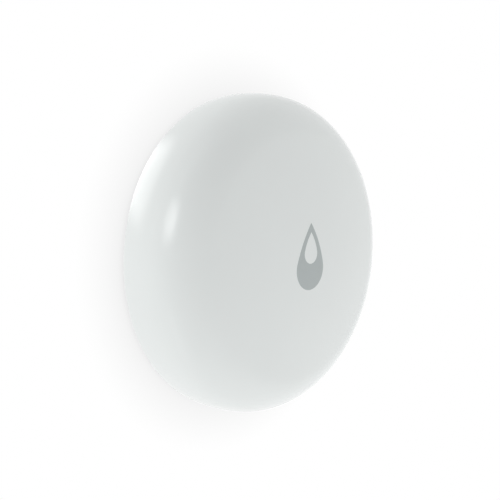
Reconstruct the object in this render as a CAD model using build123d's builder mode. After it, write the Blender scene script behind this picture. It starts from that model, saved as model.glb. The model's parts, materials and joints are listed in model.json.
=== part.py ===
"""Round battery water leak sensor: a domed disc with a drop on it and two probe heads underneath.

Millimetres. The disc lies on its foot ring, dome up: +Z through the dome, +Y towards the drop's tip.
The origin is the middle of the foot ring's resting plane.
"""

import os
from math import atan2, cos, degrees, hypot, radians, sin, sqrt

from build123d import *

# Driving sizes of the dome's outline, a chain of tangent arcs
shell_r = 25.0
shell_height = 15.0
widest_z = 3.6
side_arc_r = 15.6
shoulder_arc_r = 8.1
crown_arc_r = 82.0
rim_z = 0.5
rim_corner_r = 0.7

# Dome wall and what stands inside it
wall = 1.6
side_wall = 2.0
bore_lead = 0.3
rib_count = 12
rib_thickness = 1.0
rib_reach = 1.8
rib_height = 3.2
snap_depth = 0.25
snap_height = 0.5
snap_ease = 0.08

# Drop on the dome and the window left open in it
mark_thickness = 0.2
mark_bowl_r = 3.2
mark_bowl_y = -1.54
mark_tip_y = 5.42
window_bowl_r = 1.54
window_bowl_y = 0.79
window_tip_y = 4.02
drop_lift_angle = 16.0

# Base shell
base_fit = 0.1
floor_thickness = 1.5
skirt_wall = 1.7
skirt_top_z = 4.8
stop_gap = 0.05
foot_inset = 0.8
foot_width = 1.4
foot_round = 0.2
base_round = 0.2
mouth_round = 0.15
drain_count = 4
drain_width = 7.0
seal_groove_low_z = 2.6
seal_groove_height = 1.2
seal_groove_depth = 0.8
seal_ease = 0.03

# Coin cell
cell_height = 3.2
can_wall = 0.25
can_height = 2.75
gasket_width = 1.05
gasket_collar_width = 0.35
gasket_proud = 0.1

# Battery cover and its bayonet
cover_thickness = 1.5
cover_edge_gap = 0.15
cover_chamfer = 0.2
neck_gap = 0.3
neck_wall = 1.0
neck_height = 1.65
ledge_gap = 0.2
lug_count = 3
lug_reach = 1.0
lug_angle = 24.0
lug_clearance = 0.05
lug_head_room = 0.15
gap_angle = 28.0
open_angle = 45.0
open_rise = 0.3
ledge_thickness = 0.75
stop_play_angle = 1.5
coin_slot_inset = 2.8
coin_slot_width = 2.2
coin_slot_depth = 0.9
index_dot_r = 0.55
index_depth = 0.2
index_ring_wall = 0.3
index_angle = 90.0
cushion_inset = 1.5
cushion_thickness = 0.5
cushion_gap = 0.05

# The cover's own ring seal, squashed between the flange and the base
cover_seal_width = 1.0
cover_seal_groove = 0.75
cover_seal_ease = 0.05
seal_outer_land = 0.65
seal_inner_land = 0.25
flange_gap = 0.05
well_wall = 1.25

# Wall round the cell and the collar that holds the bayonet
collar_wall = 1.3
collar_roof = 0.7
cell_gap = 0.3
cell_wall = 1.2
lip_reach = 0.9
lip_height = 0.6
lip_gap = 0.1

# Probes
probe_head_r = 2.25
probe_head_height = 1.0
probe_head_crown = 0.2
probe_head_round = 0.15
probe_ground_gap = 0.3
probe_tip_chamfer = 0.3
probe_shank_r = 1.2
probe_shank_length = 5.1
probe_hole_gap = 0.1
probe_recess_gap = 0.2
probe_foot_land = 0.6
probe_well_land = 0.55
probe_seal_thickness = 0.4
probe_seal_gap = 0.05
probe_cross_length = 2.2
probe_cross_width = 0.55
probe_cross_depth = 0.5
insert_r = 1.7
insert_length = 3.9
insert_fit = 0.02
boss_wall = 1.2

# Board and what fastens it
board_edge_gap = 1.4
board_thickness = 1.0
board_gap = 1.3
board_seat_gap = 0.1
board_screw_count = 3
board_screw_inset = 2.6
board_screw_angle = 90.0
board_screw_r = 0.8
board_screw_length = 4.0
board_screw_head_r = 1.6
board_screw_head_height = 1.0
board_screw_slot = 0.4
board_hole_gap = 0.2
post_r = 2.0
post_hole_gap = 0.05
post_hole_depth = 4.4

# Push switch under the drop
switch_width = 5.2
switch_body_height = 1.2
switch_floor = 0.3
switch_pocket_r = 2.0
switch_cover_thickness = 0.2
switch_cover_margin = 0.15
stem_r = 1.1
stem_flange_r = 1.7
stem_flange_height = 0.3
stem_spare = 0.25
stem_gap = 0.05
press_travel = 0.25
snap_dome_r = 1.85
snap_dome_thickness = 0.1

# Clear guide that carries the press down and the light up
guide_r = 2.6
guide_flange_r = 5.0
guide_flange_height = 0.8
guide_pin_r = 1.0
guide_pin_height = 0.3
guide_gap = 0.1
window_wall = 0.8
sleeve_gap = 0.15
sleeve_wall = 0.9
sleeve_rest_gap = 0.3

# Parts on the board, and where they sit as shares of its radius
chip_width = 6.0
chip_height = 0.9
chip_corner = 0.5
chip_place_shares = (-0.44, -0.34)
crystal_length = 3.2
crystal_width = 2.5
crystal_height = 0.8
crystal_edge = 0.2
crystal_place_shares = (-0.1, -0.46)
antenna_length = 7.0
antenna_width = 2.0
antenna_height = 0.9
antenna_edge = 0.15
antenna_place_shares = (0.0, -0.8)
led_length = 1.6
led_width = 0.8
led_height = 0.35
led_lens_height = 0.3
led_lens_share = 0.7
led_gap = 0.5
small_part_length = 1.6
small_part_width = 0.8
capacitor_height = 0.8
resistor_height = 0.45
part_edge = 0.08
capacitor_place_shares = [
    (0.42, -0.2),
    (0.42, -0.34),
    (0.28, -0.52),
    (-0.55, 0.12),
    (-0.4, 0.3),
    (-0.2, -0.2),
]
resistor_place_shares = [
    (0.6, 0.08),
    (0.6, 0.24),
    (0.46, 0.4),
    (0.3, 0.56),
    (-0.34, 0.52),
    (-0.56, 0.34),
]

# Spring contacts of the cell, bent from strip
strip_thickness = 0.2
strip_width = 3.0
strip_bend_r = 0.3
contact_gap = 0.02
contact_flat = 1.6
contact_curl = 0.9
contact_lift = 0.25
contact_foot = 3.2
contact_foot_place = 5.0
side_slot_width = 4.0
side_slot_roof = 0.15
side_slot_wall = 0.5
side_contact_flat = 0.6
side_contact_curl = 0.3
side_contact_shoulder = 0.4
side_contact_reach = 1.2

# One overrun serves every cut and every piece that is trimmed to the dome
overrun = 1.0

# Heights that follow from the sizes above
cover_top_z = rim_z + cover_thickness
cell_low_z = cover_top_z + cushion_thickness + cushion_gap
cell_top_z = cell_low_z + cell_height
board_low_z = cell_top_z + board_gap
board_top_z = board_low_z + board_thickness
floor_top_z = rim_z + floor_thickness
ledge_low_z = cover_top_z + flange_gap
ledge_top_z = ledge_low_z + ledge_thickness
neck_top_z = cover_top_z + neck_height
race_top_z = neck_top_z + lug_head_room
collar_top_z = race_top_z + collar_roof
lip_low_z = cell_low_z + can_height + lip_gap
lip_top_z = lip_low_z + lip_height
switch_top_z = board_top_z + switch_body_height
switch_cover_top_z = switch_top_z + switch_cover_thickness
stem_top_z = switch_cover_top_z + press_travel + stem_spare
guide_flange_low_z = stem_top_z + guide_pin_height
guide_flange_top_z = guide_flange_low_z + guide_flange_height
sleeve_low_z = guide_flange_top_z + sleeve_rest_gap

# Radii that follow, from the dome inwards to the cell, which fills what is left
bore_r = shell_r - side_wall
base_r = bore_r - base_fit
skirt_inner_r = base_r - skirt_wall
foot_outer_r = base_r - foot_inset
foot_inner_r = foot_outer_r - foot_width
probe_recess_r = probe_head_r + probe_recess_gap
probe_place_r = foot_inner_r - probe_foot_land - probe_recess_r
well_r = probe_place_r - probe_recess_r - probe_well_land
cover_r = well_r - cover_edge_gap
seal_groove_half = cover_seal_width / 2 + cover_seal_ease
cover_seal_r = cover_r - seal_outer_land - seal_groove_half
race_r = cover_seal_r - seal_groove_half - seal_inner_land
collar_r = race_r + collar_wall
lug_r = race_r - ledge_gap
neck_r = lug_r - lug_reach
ledge_r = neck_r + ledge_gap
neck_inner_r = neck_r - neck_wall
cell_r = neck_inner_r - neck_gap
coin_slot_length = 2 * (neck_inner_r - coin_slot_inset)
cushion_r = cell_r - cushion_inset
board_r = skirt_inner_r - board_edge_gap
board_screw_place_r = board_r - board_screw_inset
cell_bore_r = cell_r + cell_gap
lip_r = cell_bore_r - lip_reach
cell_wall_r = cell_bore_r + cell_wall
guide_y = (window_tip_y + window_bowl_y - window_bowl_r) / 2
sleeve_bore_r = guide_r + sleeve_gap
sleeve_r = sleeve_bore_r + sleeve_wall

# Centres of the dome's arcs: the shoulder's circle touches the side's and the crown's from inside
side_x = shell_r - side_arc_r
crown_z = shell_height - crown_arc_r
side_to_shoulder = side_arc_r - shoulder_arc_r
crown_to_shoulder = crown_arc_r - shoulder_arc_r
centre_gap = hypot(side_x, widest_z - crown_z)
along = (centre_gap**2 + side_to_shoulder**2 - crown_to_shoulder**2) / (2 * centre_gap)
across = sqrt(side_to_shoulder**2 - along**2)
down_angle = atan2(crown_z - widest_z, -side_x)
shoulder_x = side_x + along * cos(down_angle) - across * sin(down_angle)
shoulder_z = widest_z + along * sin(down_angle) + across * cos(down_angle)
shoulder_start_angle = atan2(shoulder_z - widest_z, shoulder_x - side_x)
crown_end_angle = atan2(shoulder_z - crown_z, shoulder_x)

# The rim's corner circle touches the side's circle from inside
corner_z = rim_z + rim_corner_r
corner_x = side_x + sqrt((side_arc_r - rim_corner_r) ** 2 - (widest_z - corner_z) ** 2)
corner_angle = atan2(corner_z - widest_z, corner_x - side_x)


def dome_arcs(inset):
    """Crown and shoulder arcs, this far inside the dome's skin, from the axis to the side arc's start."""
    crown, side = crown_arc_r - inset, side_arc_r - inset
    crown_end = (crown * cos(crown_end_angle), crown_z + crown * sin(crown_end_angle))
    side_start = (side_x + side * cos(shoulder_start_angle), widest_z + side * sin(shoulder_start_angle))
    roof = TangentArc((0, shell_height - inset), crown_end, tangent=(1, 0))
    return TangentArc(roof @ 1, side_start, tangent=roof % 1)


def dome_inside(inset):
    """Half section of all that lies this far inside the dome's skin, straight below its widest line."""
    with BuildSketch(Plane.XZ) as face:
        with BuildLine():
            shoulder = dome_arcs(inset)
            side = TangentArc(shoulder @ 1, (shell_r - inset, widest_z), tangent=shoulder % 1)
            Polyline(side @ 1, (shell_r - inset, 0), (0, 0), (0, shell_height - inset))
        make_face()
    return face.sketch


def drop(bowl_r, bowl_y, tip_y):
    """Water drop: a round bowl whose flanks run up tangent to it and meet in a point."""
    with BuildSketch() as face:
        with BuildLine():
            bowl = CenterArc((0, bowl_y), bowl_r, -90, 90 + drop_lift_angle)
            TangentArc(bowl @ 1, (0, tip_y), tangent=bowl % 1)
            mirror(about=Plane.YZ)
        make_face()
    return face.sketch


def ring_sector(inner, outer, middle, sweep):
    """Flat sector of a ring, centred on an angle in degrees."""
    with BuildSketch() as face:
        with BuildLine():
            near = CenterArc((0, 0), inner, middle - sweep / 2, sweep)
            far = CenterArc((0, 0), outer, middle - sweep / 2, sweep)
            Line(near @ 0, far @ 0)
            Line(near @ 1, far @ 1)
        make_face()
    return face.sketch


def strip(points):
    """Side view of a bent strip, along its middle line."""
    with BuildSketch() as face:
        with BuildLine() as route:
            FilletPolyline(*points, radius=strip_bend_r)
        trace(route.line, line_width=strip_thickness)
    return face.sketch


def chip_block(places, length, width, height, edge):
    """Small blocks on the board's top, one at each place."""
    with BuildPart() as blocks:
        with BuildSketch(Plane.XY.offset(board_top_z)):
            with Locations(*places):
                Rectangle(length, width)
        extrude(amount=height)
        chamfer(blocks.edges().filter_by(Axis.Z), length=edge)
    return blocks.part


def on_board(shares):
    """A place on the board from its shares of the board's radius."""
    return (board_r * shares[0], board_r * shares[1])


def save(piece, name):
    """Label one finished piece and write it under its name."""
    piece.label = name
    export_step(piece, f"parts/{name}.step")


os.makedirs("parts", exist_ok=True)
print(f"shoulder arc from {degrees(shoulder_start_angle):.2f} to {degrees(crown_end_angle):.2f} degrees")

# Drop mark: a thin inlay that follows the crown, open where the window is
with BuildPart() as drop_mark:
    with BuildSketch(Plane.XY.offset(shell_height - overrun)):
        add(drop(mark_bowl_r, mark_bowl_y, mark_tip_y))
        add(drop(window_bowl_r, window_bowl_y, window_tip_y), mode=Mode.SUBTRACT)
    extrude(amount=overrun)
    with BuildSketch(Plane.XZ) as skin:
        add(dome_inside(0))
        add(dome_inside(mark_thickness), mode=Mode.SUBTRACT)
    revolve(skin.sketch, axis=Axis.Z, mode=Mode.INTERSECT)
save(drop_mark.part, "drop_mark")

# Ribs that stop the base and the sleeve round the light guide, trimmed to the middle of the dome's wall
with BuildPart() as dome_inner:
    with BuildSketch(Plane.XY.offset(skirt_top_z + stop_gap)):
        with PolarLocations(bore_r - rib_reach / 2, rib_count, start_angle=180 / rib_count):
            Rectangle(rib_reach + wall, rib_thickness)
    extrude(amount=rib_height)
    with BuildSketch(Plane.XY.offset(sleeve_low_z)):
        with Locations((0, guide_y)):
            Circle(sleeve_r)
    extrude(amount=shell_height - sleeve_low_z)
    with BuildSketch(Plane.XZ) as trim:
        add(dome_inside(wall / 2))
    revolve(trim.sketch, axis=Axis.Z, mode=Mode.INTERSECT)

# Room under the dome for the light guide's flange and the board screws' heads, however low the dome is
with BuildPart() as dome_room:
    with BuildSketch(Plane.XY.offset(board_top_z)):
        with Locations((0, guide_y)):
            Circle(guide_flange_r + sleeve_rest_gap)
    extrude(amount=sleeve_low_z - board_top_z)
    with BuildSketch(Plane.XY.offset(board_top_z)):
        with PolarLocations(board_screw_place_r, board_screw_count, start_angle=board_screw_angle):
            Circle(board_screw_head_r + board_hole_gap)
    extrude(amount=board_screw_head_height + board_hole_gap)
    with BuildSketch(Plane.XZ) as room_trim:
        add(dome_inside(window_wall))
    revolve(room_trim.sketch, axis=Axis.Z, mode=Mode.INTERSECT)

# Bore of the sleeve, up to the thin wall behind the window
with BuildPart() as sleeve_bore:
    with BuildSketch(Plane.XY.offset(sleeve_low_z - overrun)):
        with Locations((0, guide_y)):
            Circle(sleeve_bore_r)
    extrude(amount=shell_height - sleeve_low_z + overrun)
    with BuildSketch(Plane.XZ) as bore_trim:
        add(dome_inside(window_wall))
    revolve(bore_trim.sketch, axis=Axis.Z, mode=Mode.INTERSECT)

# Top shell: outer skin down to its rounded rim, hollow inside, with the recess that the drop fills
snap_z = skirt_top_z - snap_height
with BuildPart() as top_shell:
    with BuildSketch(Plane.XZ):
        with BuildLine():
            shoulder_arc = dome_arcs(0)
            side_arc = TangentArc(
                shoulder_arc @ 1,
                (side_x + side_arc_r * cos(corner_angle), widest_z + side_arc_r * sin(corner_angle)),
                tangent=shoulder_arc % 1,
            )
            corner_arc = TangentArc(side_arc @ 1, (corner_x, rim_z), tangent=side_arc % 1)
            Polyline(corner_arc @ 1, (0, rim_z), (0, shell_height))
        make_face()
    revolve(axis=Axis.Z)
    with BuildSketch(Plane.XZ) as cavity:
        add(dome_inside(wall))
        with Locations((bore_r / 2, shell_height / 2)):
            Rectangle(bore_r, shell_height, mode=Mode.INTERSECT)
        with BuildLine():
            Polyline(
                (bore_r - base_fit, rim_z - base_fit),
                (bore_r + bore_lead, rim_z - base_fit),
                (bore_r, rim_z + bore_lead),
                (bore_r - base_fit, rim_z - base_fit),
            )
        make_face()
        with BuildLine():
            Polyline(
                (bore_r - base_fit, snap_z - snap_height / 2 - snap_ease),
                (bore_r, snap_z - snap_height / 2 - snap_ease),
                (bore_r + snap_depth, snap_z - snap_ease),
                (bore_r + snap_depth, snap_z + snap_ease),
                (bore_r, snap_z + snap_height / 2 + snap_ease),
                (bore_r - base_fit, snap_z + snap_height / 2 + snap_ease),
                close=True,
            )
        make_face()
    revolve(cavity.sketch, axis=Axis.Z, mode=Mode.SUBTRACT)
    add(dome_room.part, mode=Mode.SUBTRACT)
    add(dome_inner.part)
    add(sleeve_bore.part, mode=Mode.SUBTRACT)
    add(drop_mark.part, mode=Mode.SUBTRACT)
save(top_shell.part, "top_shell")

# One bayonet ledge, whose top falls as the cover turns open, clockwise from above, and the stop beside it
stop_start_angle = lug_angle / 2 + stop_play_angle
stop_end_angle = 360 / lug_count - open_angle - gap_angle / 2
ledge_start_angle = gap_angle / 2 - open_angle
ledge_middle_angle = (ledge_start_angle + stop_start_angle) / 2
ledge_sweep = stop_start_angle - ledge_start_angle
fall_per_degree = open_rise / open_angle
ramp_slope = open_rise / radians(open_angle) / ledge_r
ramp_x = (cos(radians(ledge_middle_angle)), sin(radians(ledge_middle_angle)), 0)
ramp_z = (ramp_slope * ramp_x[1], -ramp_slope * ramp_x[0], 1)
ramp_middle_z = ledge_top_z - fall_per_degree * ledge_sweep / 2
with BuildPart() as ledge:
    with BuildSketch(Plane.XY.offset(ledge_low_z)):
        add(ring_sector(ledge_r, race_r + collar_wall / 2, ledge_middle_angle, ledge_sweep))
    extrude(amount=ledge_thickness)
    split(bisect_by=Plane((0, 0, ramp_middle_z), x_dir=ramp_x, z_dir=ramp_z), keep=Keep.BOTTOM)
    with BuildSketch(Plane.XY.offset(ledge_low_z)):
        add(
            ring_sector(
                ledge_r,
                race_r + collar_wall / 2,
                (stop_start_angle + stop_end_angle) / 2,
                stop_end_angle - stop_start_angle,
            )
        )
    extrude(amount=collar_top_z - collar_roof / 2 - ledge_low_z)

# One lug of the cover, whose underside follows the ledge's ramp
with BuildPart() as lug:
    with BuildSketch(Plane.XY.offset(ledge_low_z)):
        add(ring_sector(neck_r - neck_wall / 2, lug_r, 0, lug_angle))
    extrude(amount=neck_top_z - ledge_low_z)
    lug_plane = Plane((0, 0, ramp_middle_z + lug_clearance), x_dir=ramp_x, z_dir=ramp_z)
    split(bisect_by=lug_plane, keep=Keep.TOP)

# Base shell: floor, skirt with its seal groove and snap bead, foot ring, cover well, collar and cell wall
groove_r = base_r - seal_groove_depth
groove_top_z = seal_groove_low_z + seal_groove_height
probe_head_top_z = probe_ground_gap + probe_head_height
recess_top_z = probe_head_top_z + probe_seal_thickness
insert_low_z = board_low_z - insert_length
side_slot_low_z = race_top_z + side_slot_roof
side_slot_r = cell_wall_r - side_slot_wall
index_r = (well_r + foot_inner_r) / 2
probe_places = [(probe_place_r, 0), (-probe_place_r, 0)]
with BuildPart() as base_shell:
    with BuildSketch(Plane.XZ) as base_profile:
        with BuildLine():
            Polyline(
                (race_r, ledge_low_z),
                (well_r, ledge_low_z),
                (well_r, rim_z),
                (foot_inner_r, rim_z),
                (foot_inner_r, 0),
                (foot_outer_r, 0),
                (foot_outer_r, rim_z),
                (base_r, rim_z),
                (base_r, seal_groove_low_z),
                (groove_r, seal_groove_low_z),
                (groove_r, groove_top_z),
                (base_r, groove_top_z),
                (base_r, snap_z - snap_height / 2),
                (base_r + snap_depth, snap_z),
                (base_r, snap_z + snap_height / 2),
                (base_r, skirt_top_z),
                (skirt_inner_r, skirt_top_z),
                (skirt_inner_r, floor_top_z),
                (well_r + well_wall, floor_top_z),
                (well_r + well_wall, ledge_top_z),
                (collar_r, ledge_top_z),
                (collar_r, collar_top_z),
                (cell_wall_r, collar_top_z),
                (cell_wall_r, lip_top_z),
                (lip_r, lip_top_z),
                (lip_r, lip_low_z),
                (cell_bore_r, lip_low_z),
                (cell_bore_r, race_top_z),
                (race_r, race_top_z),
                close=True,
            )
        make_face()
        rim_corners = base_profile.vertices().group_by(Axis.Y)[1].sort_by(Axis.X)
        fillet([rim_corners[0], rim_corners[-1]], radius=base_round)
        fillet(base_profile.vertices().group_by(Axis.Y)[0], radius=foot_round)
    revolve(axis=Axis.Z)
    with PolarLocations(0, lug_count):
        add(ledge.part)
    with BuildSketch(Plane.XY.offset(recess_top_z)):
        with Locations(*probe_places):
            Circle(insert_r + boss_wall)
    extrude(amount=board_low_z - board_seat_gap - recess_top_z)
    with BuildSketch(Plane.XY.offset(floor_top_z)):
        with PolarLocations(board_screw_place_r, board_screw_count, start_angle=board_screw_angle):
            Circle(post_r)
    extrude(amount=board_low_z - floor_top_z)
    with BuildSketch(Plane.XY.offset(board_low_z)):
        with PolarLocations(board_screw_place_r, board_screw_count, start_angle=board_screw_angle):
            Circle(board_screw_r + post_hole_gap)
    extrude(amount=-post_hole_depth, mode=Mode.SUBTRACT)
    with BuildSketch(Plane.XY):
        with Locations(*probe_places):
            Circle(probe_recess_r)
    extrude(amount=recess_top_z, mode=Mode.SUBTRACT)
    fillet(base_shell.edges(Select.LAST).group_by(Axis.Z)[0], radius=mouth_round)
    with BuildSketch(Plane.XY.offset(recess_top_z)):
        with Locations(*probe_places):
            Circle(probe_shank_r + probe_hole_gap)
    extrude(amount=insert_low_z - recess_top_z, mode=Mode.SUBTRACT)
    with BuildSketch(Plane.XY.offset(insert_low_z)):
        with Locations(*probe_places):
            Circle(insert_r + insert_fit)
    extrude(amount=insert_length, mode=Mode.SUBTRACT)
    with BuildSketch(Plane.XY):
        with PolarLocations(foot_outer_r - foot_width / 2, drain_count, start_angle=180 / drain_count):
            Rectangle(foot_width + overrun, drain_width)
    extrude(amount=rim_z, mode=Mode.SUBTRACT)
    with BuildSketch(Plane.XY.offset(side_slot_low_z)):
        with Locations((0, -side_slot_r / 2)):
            Rectangle(side_slot_width, side_slot_r)
    extrude(amount=lip_top_z - side_slot_low_z, mode=Mode.SUBTRACT)
    with BuildSketch(Plane.XY.offset(rim_z)):
        with PolarLocations(index_r, 1, start_angle=index_angle):
            Circle(index_dot_r)
        with PolarLocations(index_r, 1, start_angle=index_angle - open_angle):
            Circle(index_dot_r + index_ring_wall)
            Circle(index_dot_r, mode=Mode.SUBTRACT)
    extrude(amount=index_depth, mode=Mode.SUBTRACT)
save(base_shell.part, "base_shell")

# Ring seal between the two shells, squashed flat against the bore
with BuildPart() as shell_seal:
    with BuildSketch(Plane.XZ):
        with Locations(((groove_r + bore_r) / 2, (seal_groove_low_z + groove_top_z) / 2)):
            Ellipse((bore_r - groove_r) / 2 - seal_ease, seal_groove_height / 2 - seal_ease)
    revolve(axis=Axis.Z)
save(shell_seal.part, "shell_seal")

# Battery cover: flange with a seal groove, neck with three lugs, coin slot and index dot underneath
with BuildPart() as battery_cover:
    with BuildSketch(Plane.XZ):
        with BuildLine():
            Polyline(
                (0, rim_z),
                (cover_r - cover_chamfer, rim_z),
                (cover_r, rim_z + cover_chamfer),
                (cover_r, cover_top_z),
                (cover_seal_r + seal_groove_half, cover_top_z),
                (cover_seal_r + seal_groove_half, cover_top_z - cover_seal_groove),
                (cover_seal_r - seal_groove_half, cover_top_z - cover_seal_groove),
                (cover_seal_r - seal_groove_half, cover_top_z),
                (neck_r, cover_top_z),
                (neck_r, neck_top_z),
                (neck_inner_r, neck_top_z),
                (neck_inner_r, cover_top_z),
                (0, cover_top_z),
                close=True,
            )
        make_face()
    revolve(axis=Axis.Z)
    with PolarLocations(0, lug_count):
        add(lug.part)
    with BuildSketch(Plane.XY.offset(rim_z)):
        SlotOverall(coin_slot_length, coin_slot_width)
    extrude(amount=coin_slot_depth, mode=Mode.SUBTRACT)
    fillet(battery_cover.edges(Select.LAST).group_by(Axis.Z)[0], radius=mouth_round)
    with BuildSketch(Plane.XY.offset(rim_z)):
        with PolarLocations((coin_slot_length / 2 + cover_r) / 2 + index_dot_r, 1, start_angle=index_angle):
            Circle(index_dot_r)
    extrude(amount=index_depth, mode=Mode.SUBTRACT)
save(battery_cover.part, "battery_cover")

# The cover's ring seal, squashed to the height between its groove and the base
with BuildPart() as battery_cover_seal:
    with BuildSketch(Plane.XZ):
        with Locations((cover_seal_r, cover_top_z + (flange_gap - cover_seal_groove) / 2)):
            Ellipse(cover_seal_width / 2, (flange_gap + cover_seal_groove) / 2 - cover_seal_ease)
    revolve(axis=Axis.Z)
save(battery_cover_seal.part, "battery_cover_seal")

# Foam cushion on the cover, which holds the cell up against its contacts
with BuildPart() as cover_cushion:
    with BuildSketch(Plane.XY.offset(cover_top_z)):
        Circle(cushion_r)
    extrude(amount=cushion_thickness)
save(cover_cushion.part, "cover_cushion")

# Coin cell, its flat positive side down: can, gasket, lid and the pressed pellets between them
can_inner_r = cell_r - can_wall
crimp_top_z = cell_low_z + can_height
crimp_low_z = crimp_top_z - can_wall
can_floor_z = cell_low_z + can_wall
lid_r = can_inner_r - gasket_width
collar_outer_r = lid_r + gasket_collar_width
with BuildPart() as cell_can:
    with BuildSketch(Plane.XZ):
        with BuildLine():
            Polyline(
                (0, cell_low_z),
                (cell_r - can_wall, cell_low_z),
                (cell_r, cell_low_z + can_wall),
                (cell_r, crimp_top_z - can_wall / 2),
                (cell_r - can_wall / 2, crimp_top_z),
                (collar_outer_r, crimp_top_z),
                (collar_outer_r, crimp_low_z),
                (can_inner_r, crimp_low_z),
                (can_inner_r, can_floor_z),
                (0, can_floor_z),
                close=True,
            )
        make_face()
    revolve(axis=Axis.Z)
save(cell_can.part, "cell_can")

with BuildPart() as cell_gasket:
    with BuildSketch(Plane.XZ):
        with BuildLine():
            Polyline(
                (lid_r, can_floor_z),
                (can_inner_r, can_floor_z),
                (can_inner_r, crimp_low_z),
                (collar_outer_r, crimp_low_z),
                (collar_outer_r, crimp_top_z + gasket_proud),
                (lid_r, crimp_top_z + gasket_proud),
                close=True,
            )
        make_face()
    revolve(axis=Axis.Z)
save(cell_gasket.part, "cell_gasket")

lid_inner_r = lid_r - can_wall
with BuildPart() as cell_lid:
    with BuildSketch(Plane.XZ):
        with BuildLine():
            Polyline(
                (0, cell_top_z),
                (lid_r - can_wall, cell_top_z),
                (lid_r, cell_top_z - can_wall),
                (lid_r, can_floor_z + can_wall),
                (lid_inner_r, can_floor_z + can_wall),
                (lid_inner_r, cell_top_z - can_wall),
                (0, cell_top_z - can_wall),
                close=True,
            )
        make_face()
    revolve(axis=Axis.Z)
save(cell_lid.part, "cell_lid")

with BuildPart() as cell_core:
    with BuildSketch(Plane.XY.offset(can_floor_z)):
        Circle(lid_inner_r)
    extrude(amount=cell_height - 2 * can_wall)
save(cell_core.part, "cell_core")


def probe_screw(place):
    """Probe screw with a crowned head that the water touches, a cross recess and a plain shank."""
    with BuildPart() as screw:
        with BuildSketch(Plane.XZ) as head:
            with BuildLine():
                crown = TangentArc(
                    (0, probe_ground_gap), (probe_head_r, probe_ground_gap + probe_head_crown), tangent=(1, 0)
                )
                Polyline(crown @ 1, (probe_head_r, probe_head_top_z), (0, probe_head_top_z), crown @ 0)
            make_face()
            fillet(head.vertices().group_by(Axis.X)[-1].sort_by(Axis.Y)[0], radius=probe_head_round)
        revolve(axis=Axis.Z)
        with BuildSketch(Plane.XY.offset(probe_head_top_z)):
            Circle(probe_shank_r)
        extrude(amount=probe_shank_length)
        chamfer(screw.faces().sort_by(Axis.Z)[-1].edges(), length=probe_tip_chamfer)
        with BuildSketch(Plane.XY.offset(probe_ground_gap)):
            Rectangle(probe_cross_length, probe_cross_width)
            Rectangle(probe_cross_width, probe_cross_length)
        extrude(amount=probe_cross_depth, mode=Mode.SUBTRACT)
    return screw.part.moved(Location(place))


def ring(place, low, high, inner, outer):
    """Plain upright ring, from one height to another."""
    with BuildPart() as hoop:
        with BuildSketch(Plane.XY.offset(low)):
            with Locations(place):
                Circle(outer)
                Circle(inner, mode=Mode.SUBTRACT)
        extrude(amount=high - low)
    return hoop.part


# The two probes, each a screw, its sealing washer and the brass bush that it grips
washer_r = probe_head_r - probe_seal_gap
bush_bore_r = probe_shank_r + probe_seal_gap
for side_name, probe_place in zip(("right", "left"), probe_places):
    save(probe_screw(probe_place), f"probe_screw_{side_name}")
    save(ring(probe_place, probe_head_top_z, recess_top_z, bush_bore_r, washer_r), f"probe_seal_{side_name}")
    save(ring(probe_place, insert_low_z, board_low_z, bush_bore_r, insert_r), f"probe_insert_{side_name}")

# Circuit board and its three screws
with BuildPart() as circuit_board:
    with BuildSketch(Plane.XY.offset(board_low_z)):
        Circle(board_r)
        with PolarLocations(board_screw_place_r, board_screw_count, start_angle=board_screw_angle):
            Circle(board_screw_r + board_hole_gap, mode=Mode.SUBTRACT)
    extrude(amount=board_thickness)
save(circuit_board.part, "circuit_board")

with BuildPart() as board_screws:
    with BuildSketch(Plane.XY.offset(board_top_z)):
        with PolarLocations(board_screw_place_r, board_screw_count, start_angle=board_screw_angle):
            Circle(board_screw_head_r)
    extrude(amount=board_screw_head_height)
    fillet(board_screws.edges().group_by(Axis.Z)[-1], radius=board_screw_head_height / 2)
    with BuildSketch(Plane.XY.offset(board_top_z)):
        with PolarLocations(board_screw_place_r, board_screw_count, start_angle=board_screw_angle):
            Circle(board_screw_r)
    extrude(amount=-board_screw_length)
    with BuildSketch(Plane.XY.offset(board_top_z + board_screw_head_height)):
        with PolarLocations(board_screw_place_r, board_screw_count, start_angle=board_screw_angle):
            Rectangle(board_screw_head_r, board_screw_slot)
            Rectangle(board_screw_slot, board_screw_head_r)
    extrude(amount=-board_screw_head_height / 2, mode=Mode.SUBTRACT)
save(board_screws.part, "board_screws")

# Parts soldered on the board
chip_places = [on_board(chip_place_shares)]
crystal_places = [on_board(crystal_place_shares)]
antenna_places = [on_board(antenna_place_shares)]
capacitor_places = [on_board(shares) for shares in capacitor_place_shares]
resistor_places = [on_board(shares) for shares in resistor_place_shares]
for part_name, places, length, width, height, edge in (
    ("radio_chip", chip_places, chip_width, chip_width, chip_height, chip_corner),
    ("crystal", crystal_places, crystal_length, crystal_width, crystal_height, crystal_edge),
    ("antenna", antenna_places, antenna_length, antenna_width, antenna_height, antenna_edge),
    ("capacitors", capacitor_places, small_part_length, small_part_width, capacitor_height, part_edge),
    ("resistors", resistor_places, small_part_width, small_part_length, resistor_height, part_edge),
):
    save(chip_block(places, length, width, height, edge), part_name)

# Status light beside the switch, under the guide's flange
led_x = (switch_width + led_width) / 2 + led_gap
with BuildPart() as status_led:
    with BuildSketch(Plane.XY.offset(board_top_z)):
        with Locations((led_x, guide_y)):
            Rectangle(led_width, led_length)
    extrude(amount=led_height)
    with BuildSketch(Plane.XY.offset(board_top_z + led_height)):
        with Locations((led_x, guide_y)):
            Rectangle(led_width * led_lens_share, led_length * led_lens_share)
    extrude(amount=led_lens_height)
save(status_led.part, "status_led")

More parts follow.
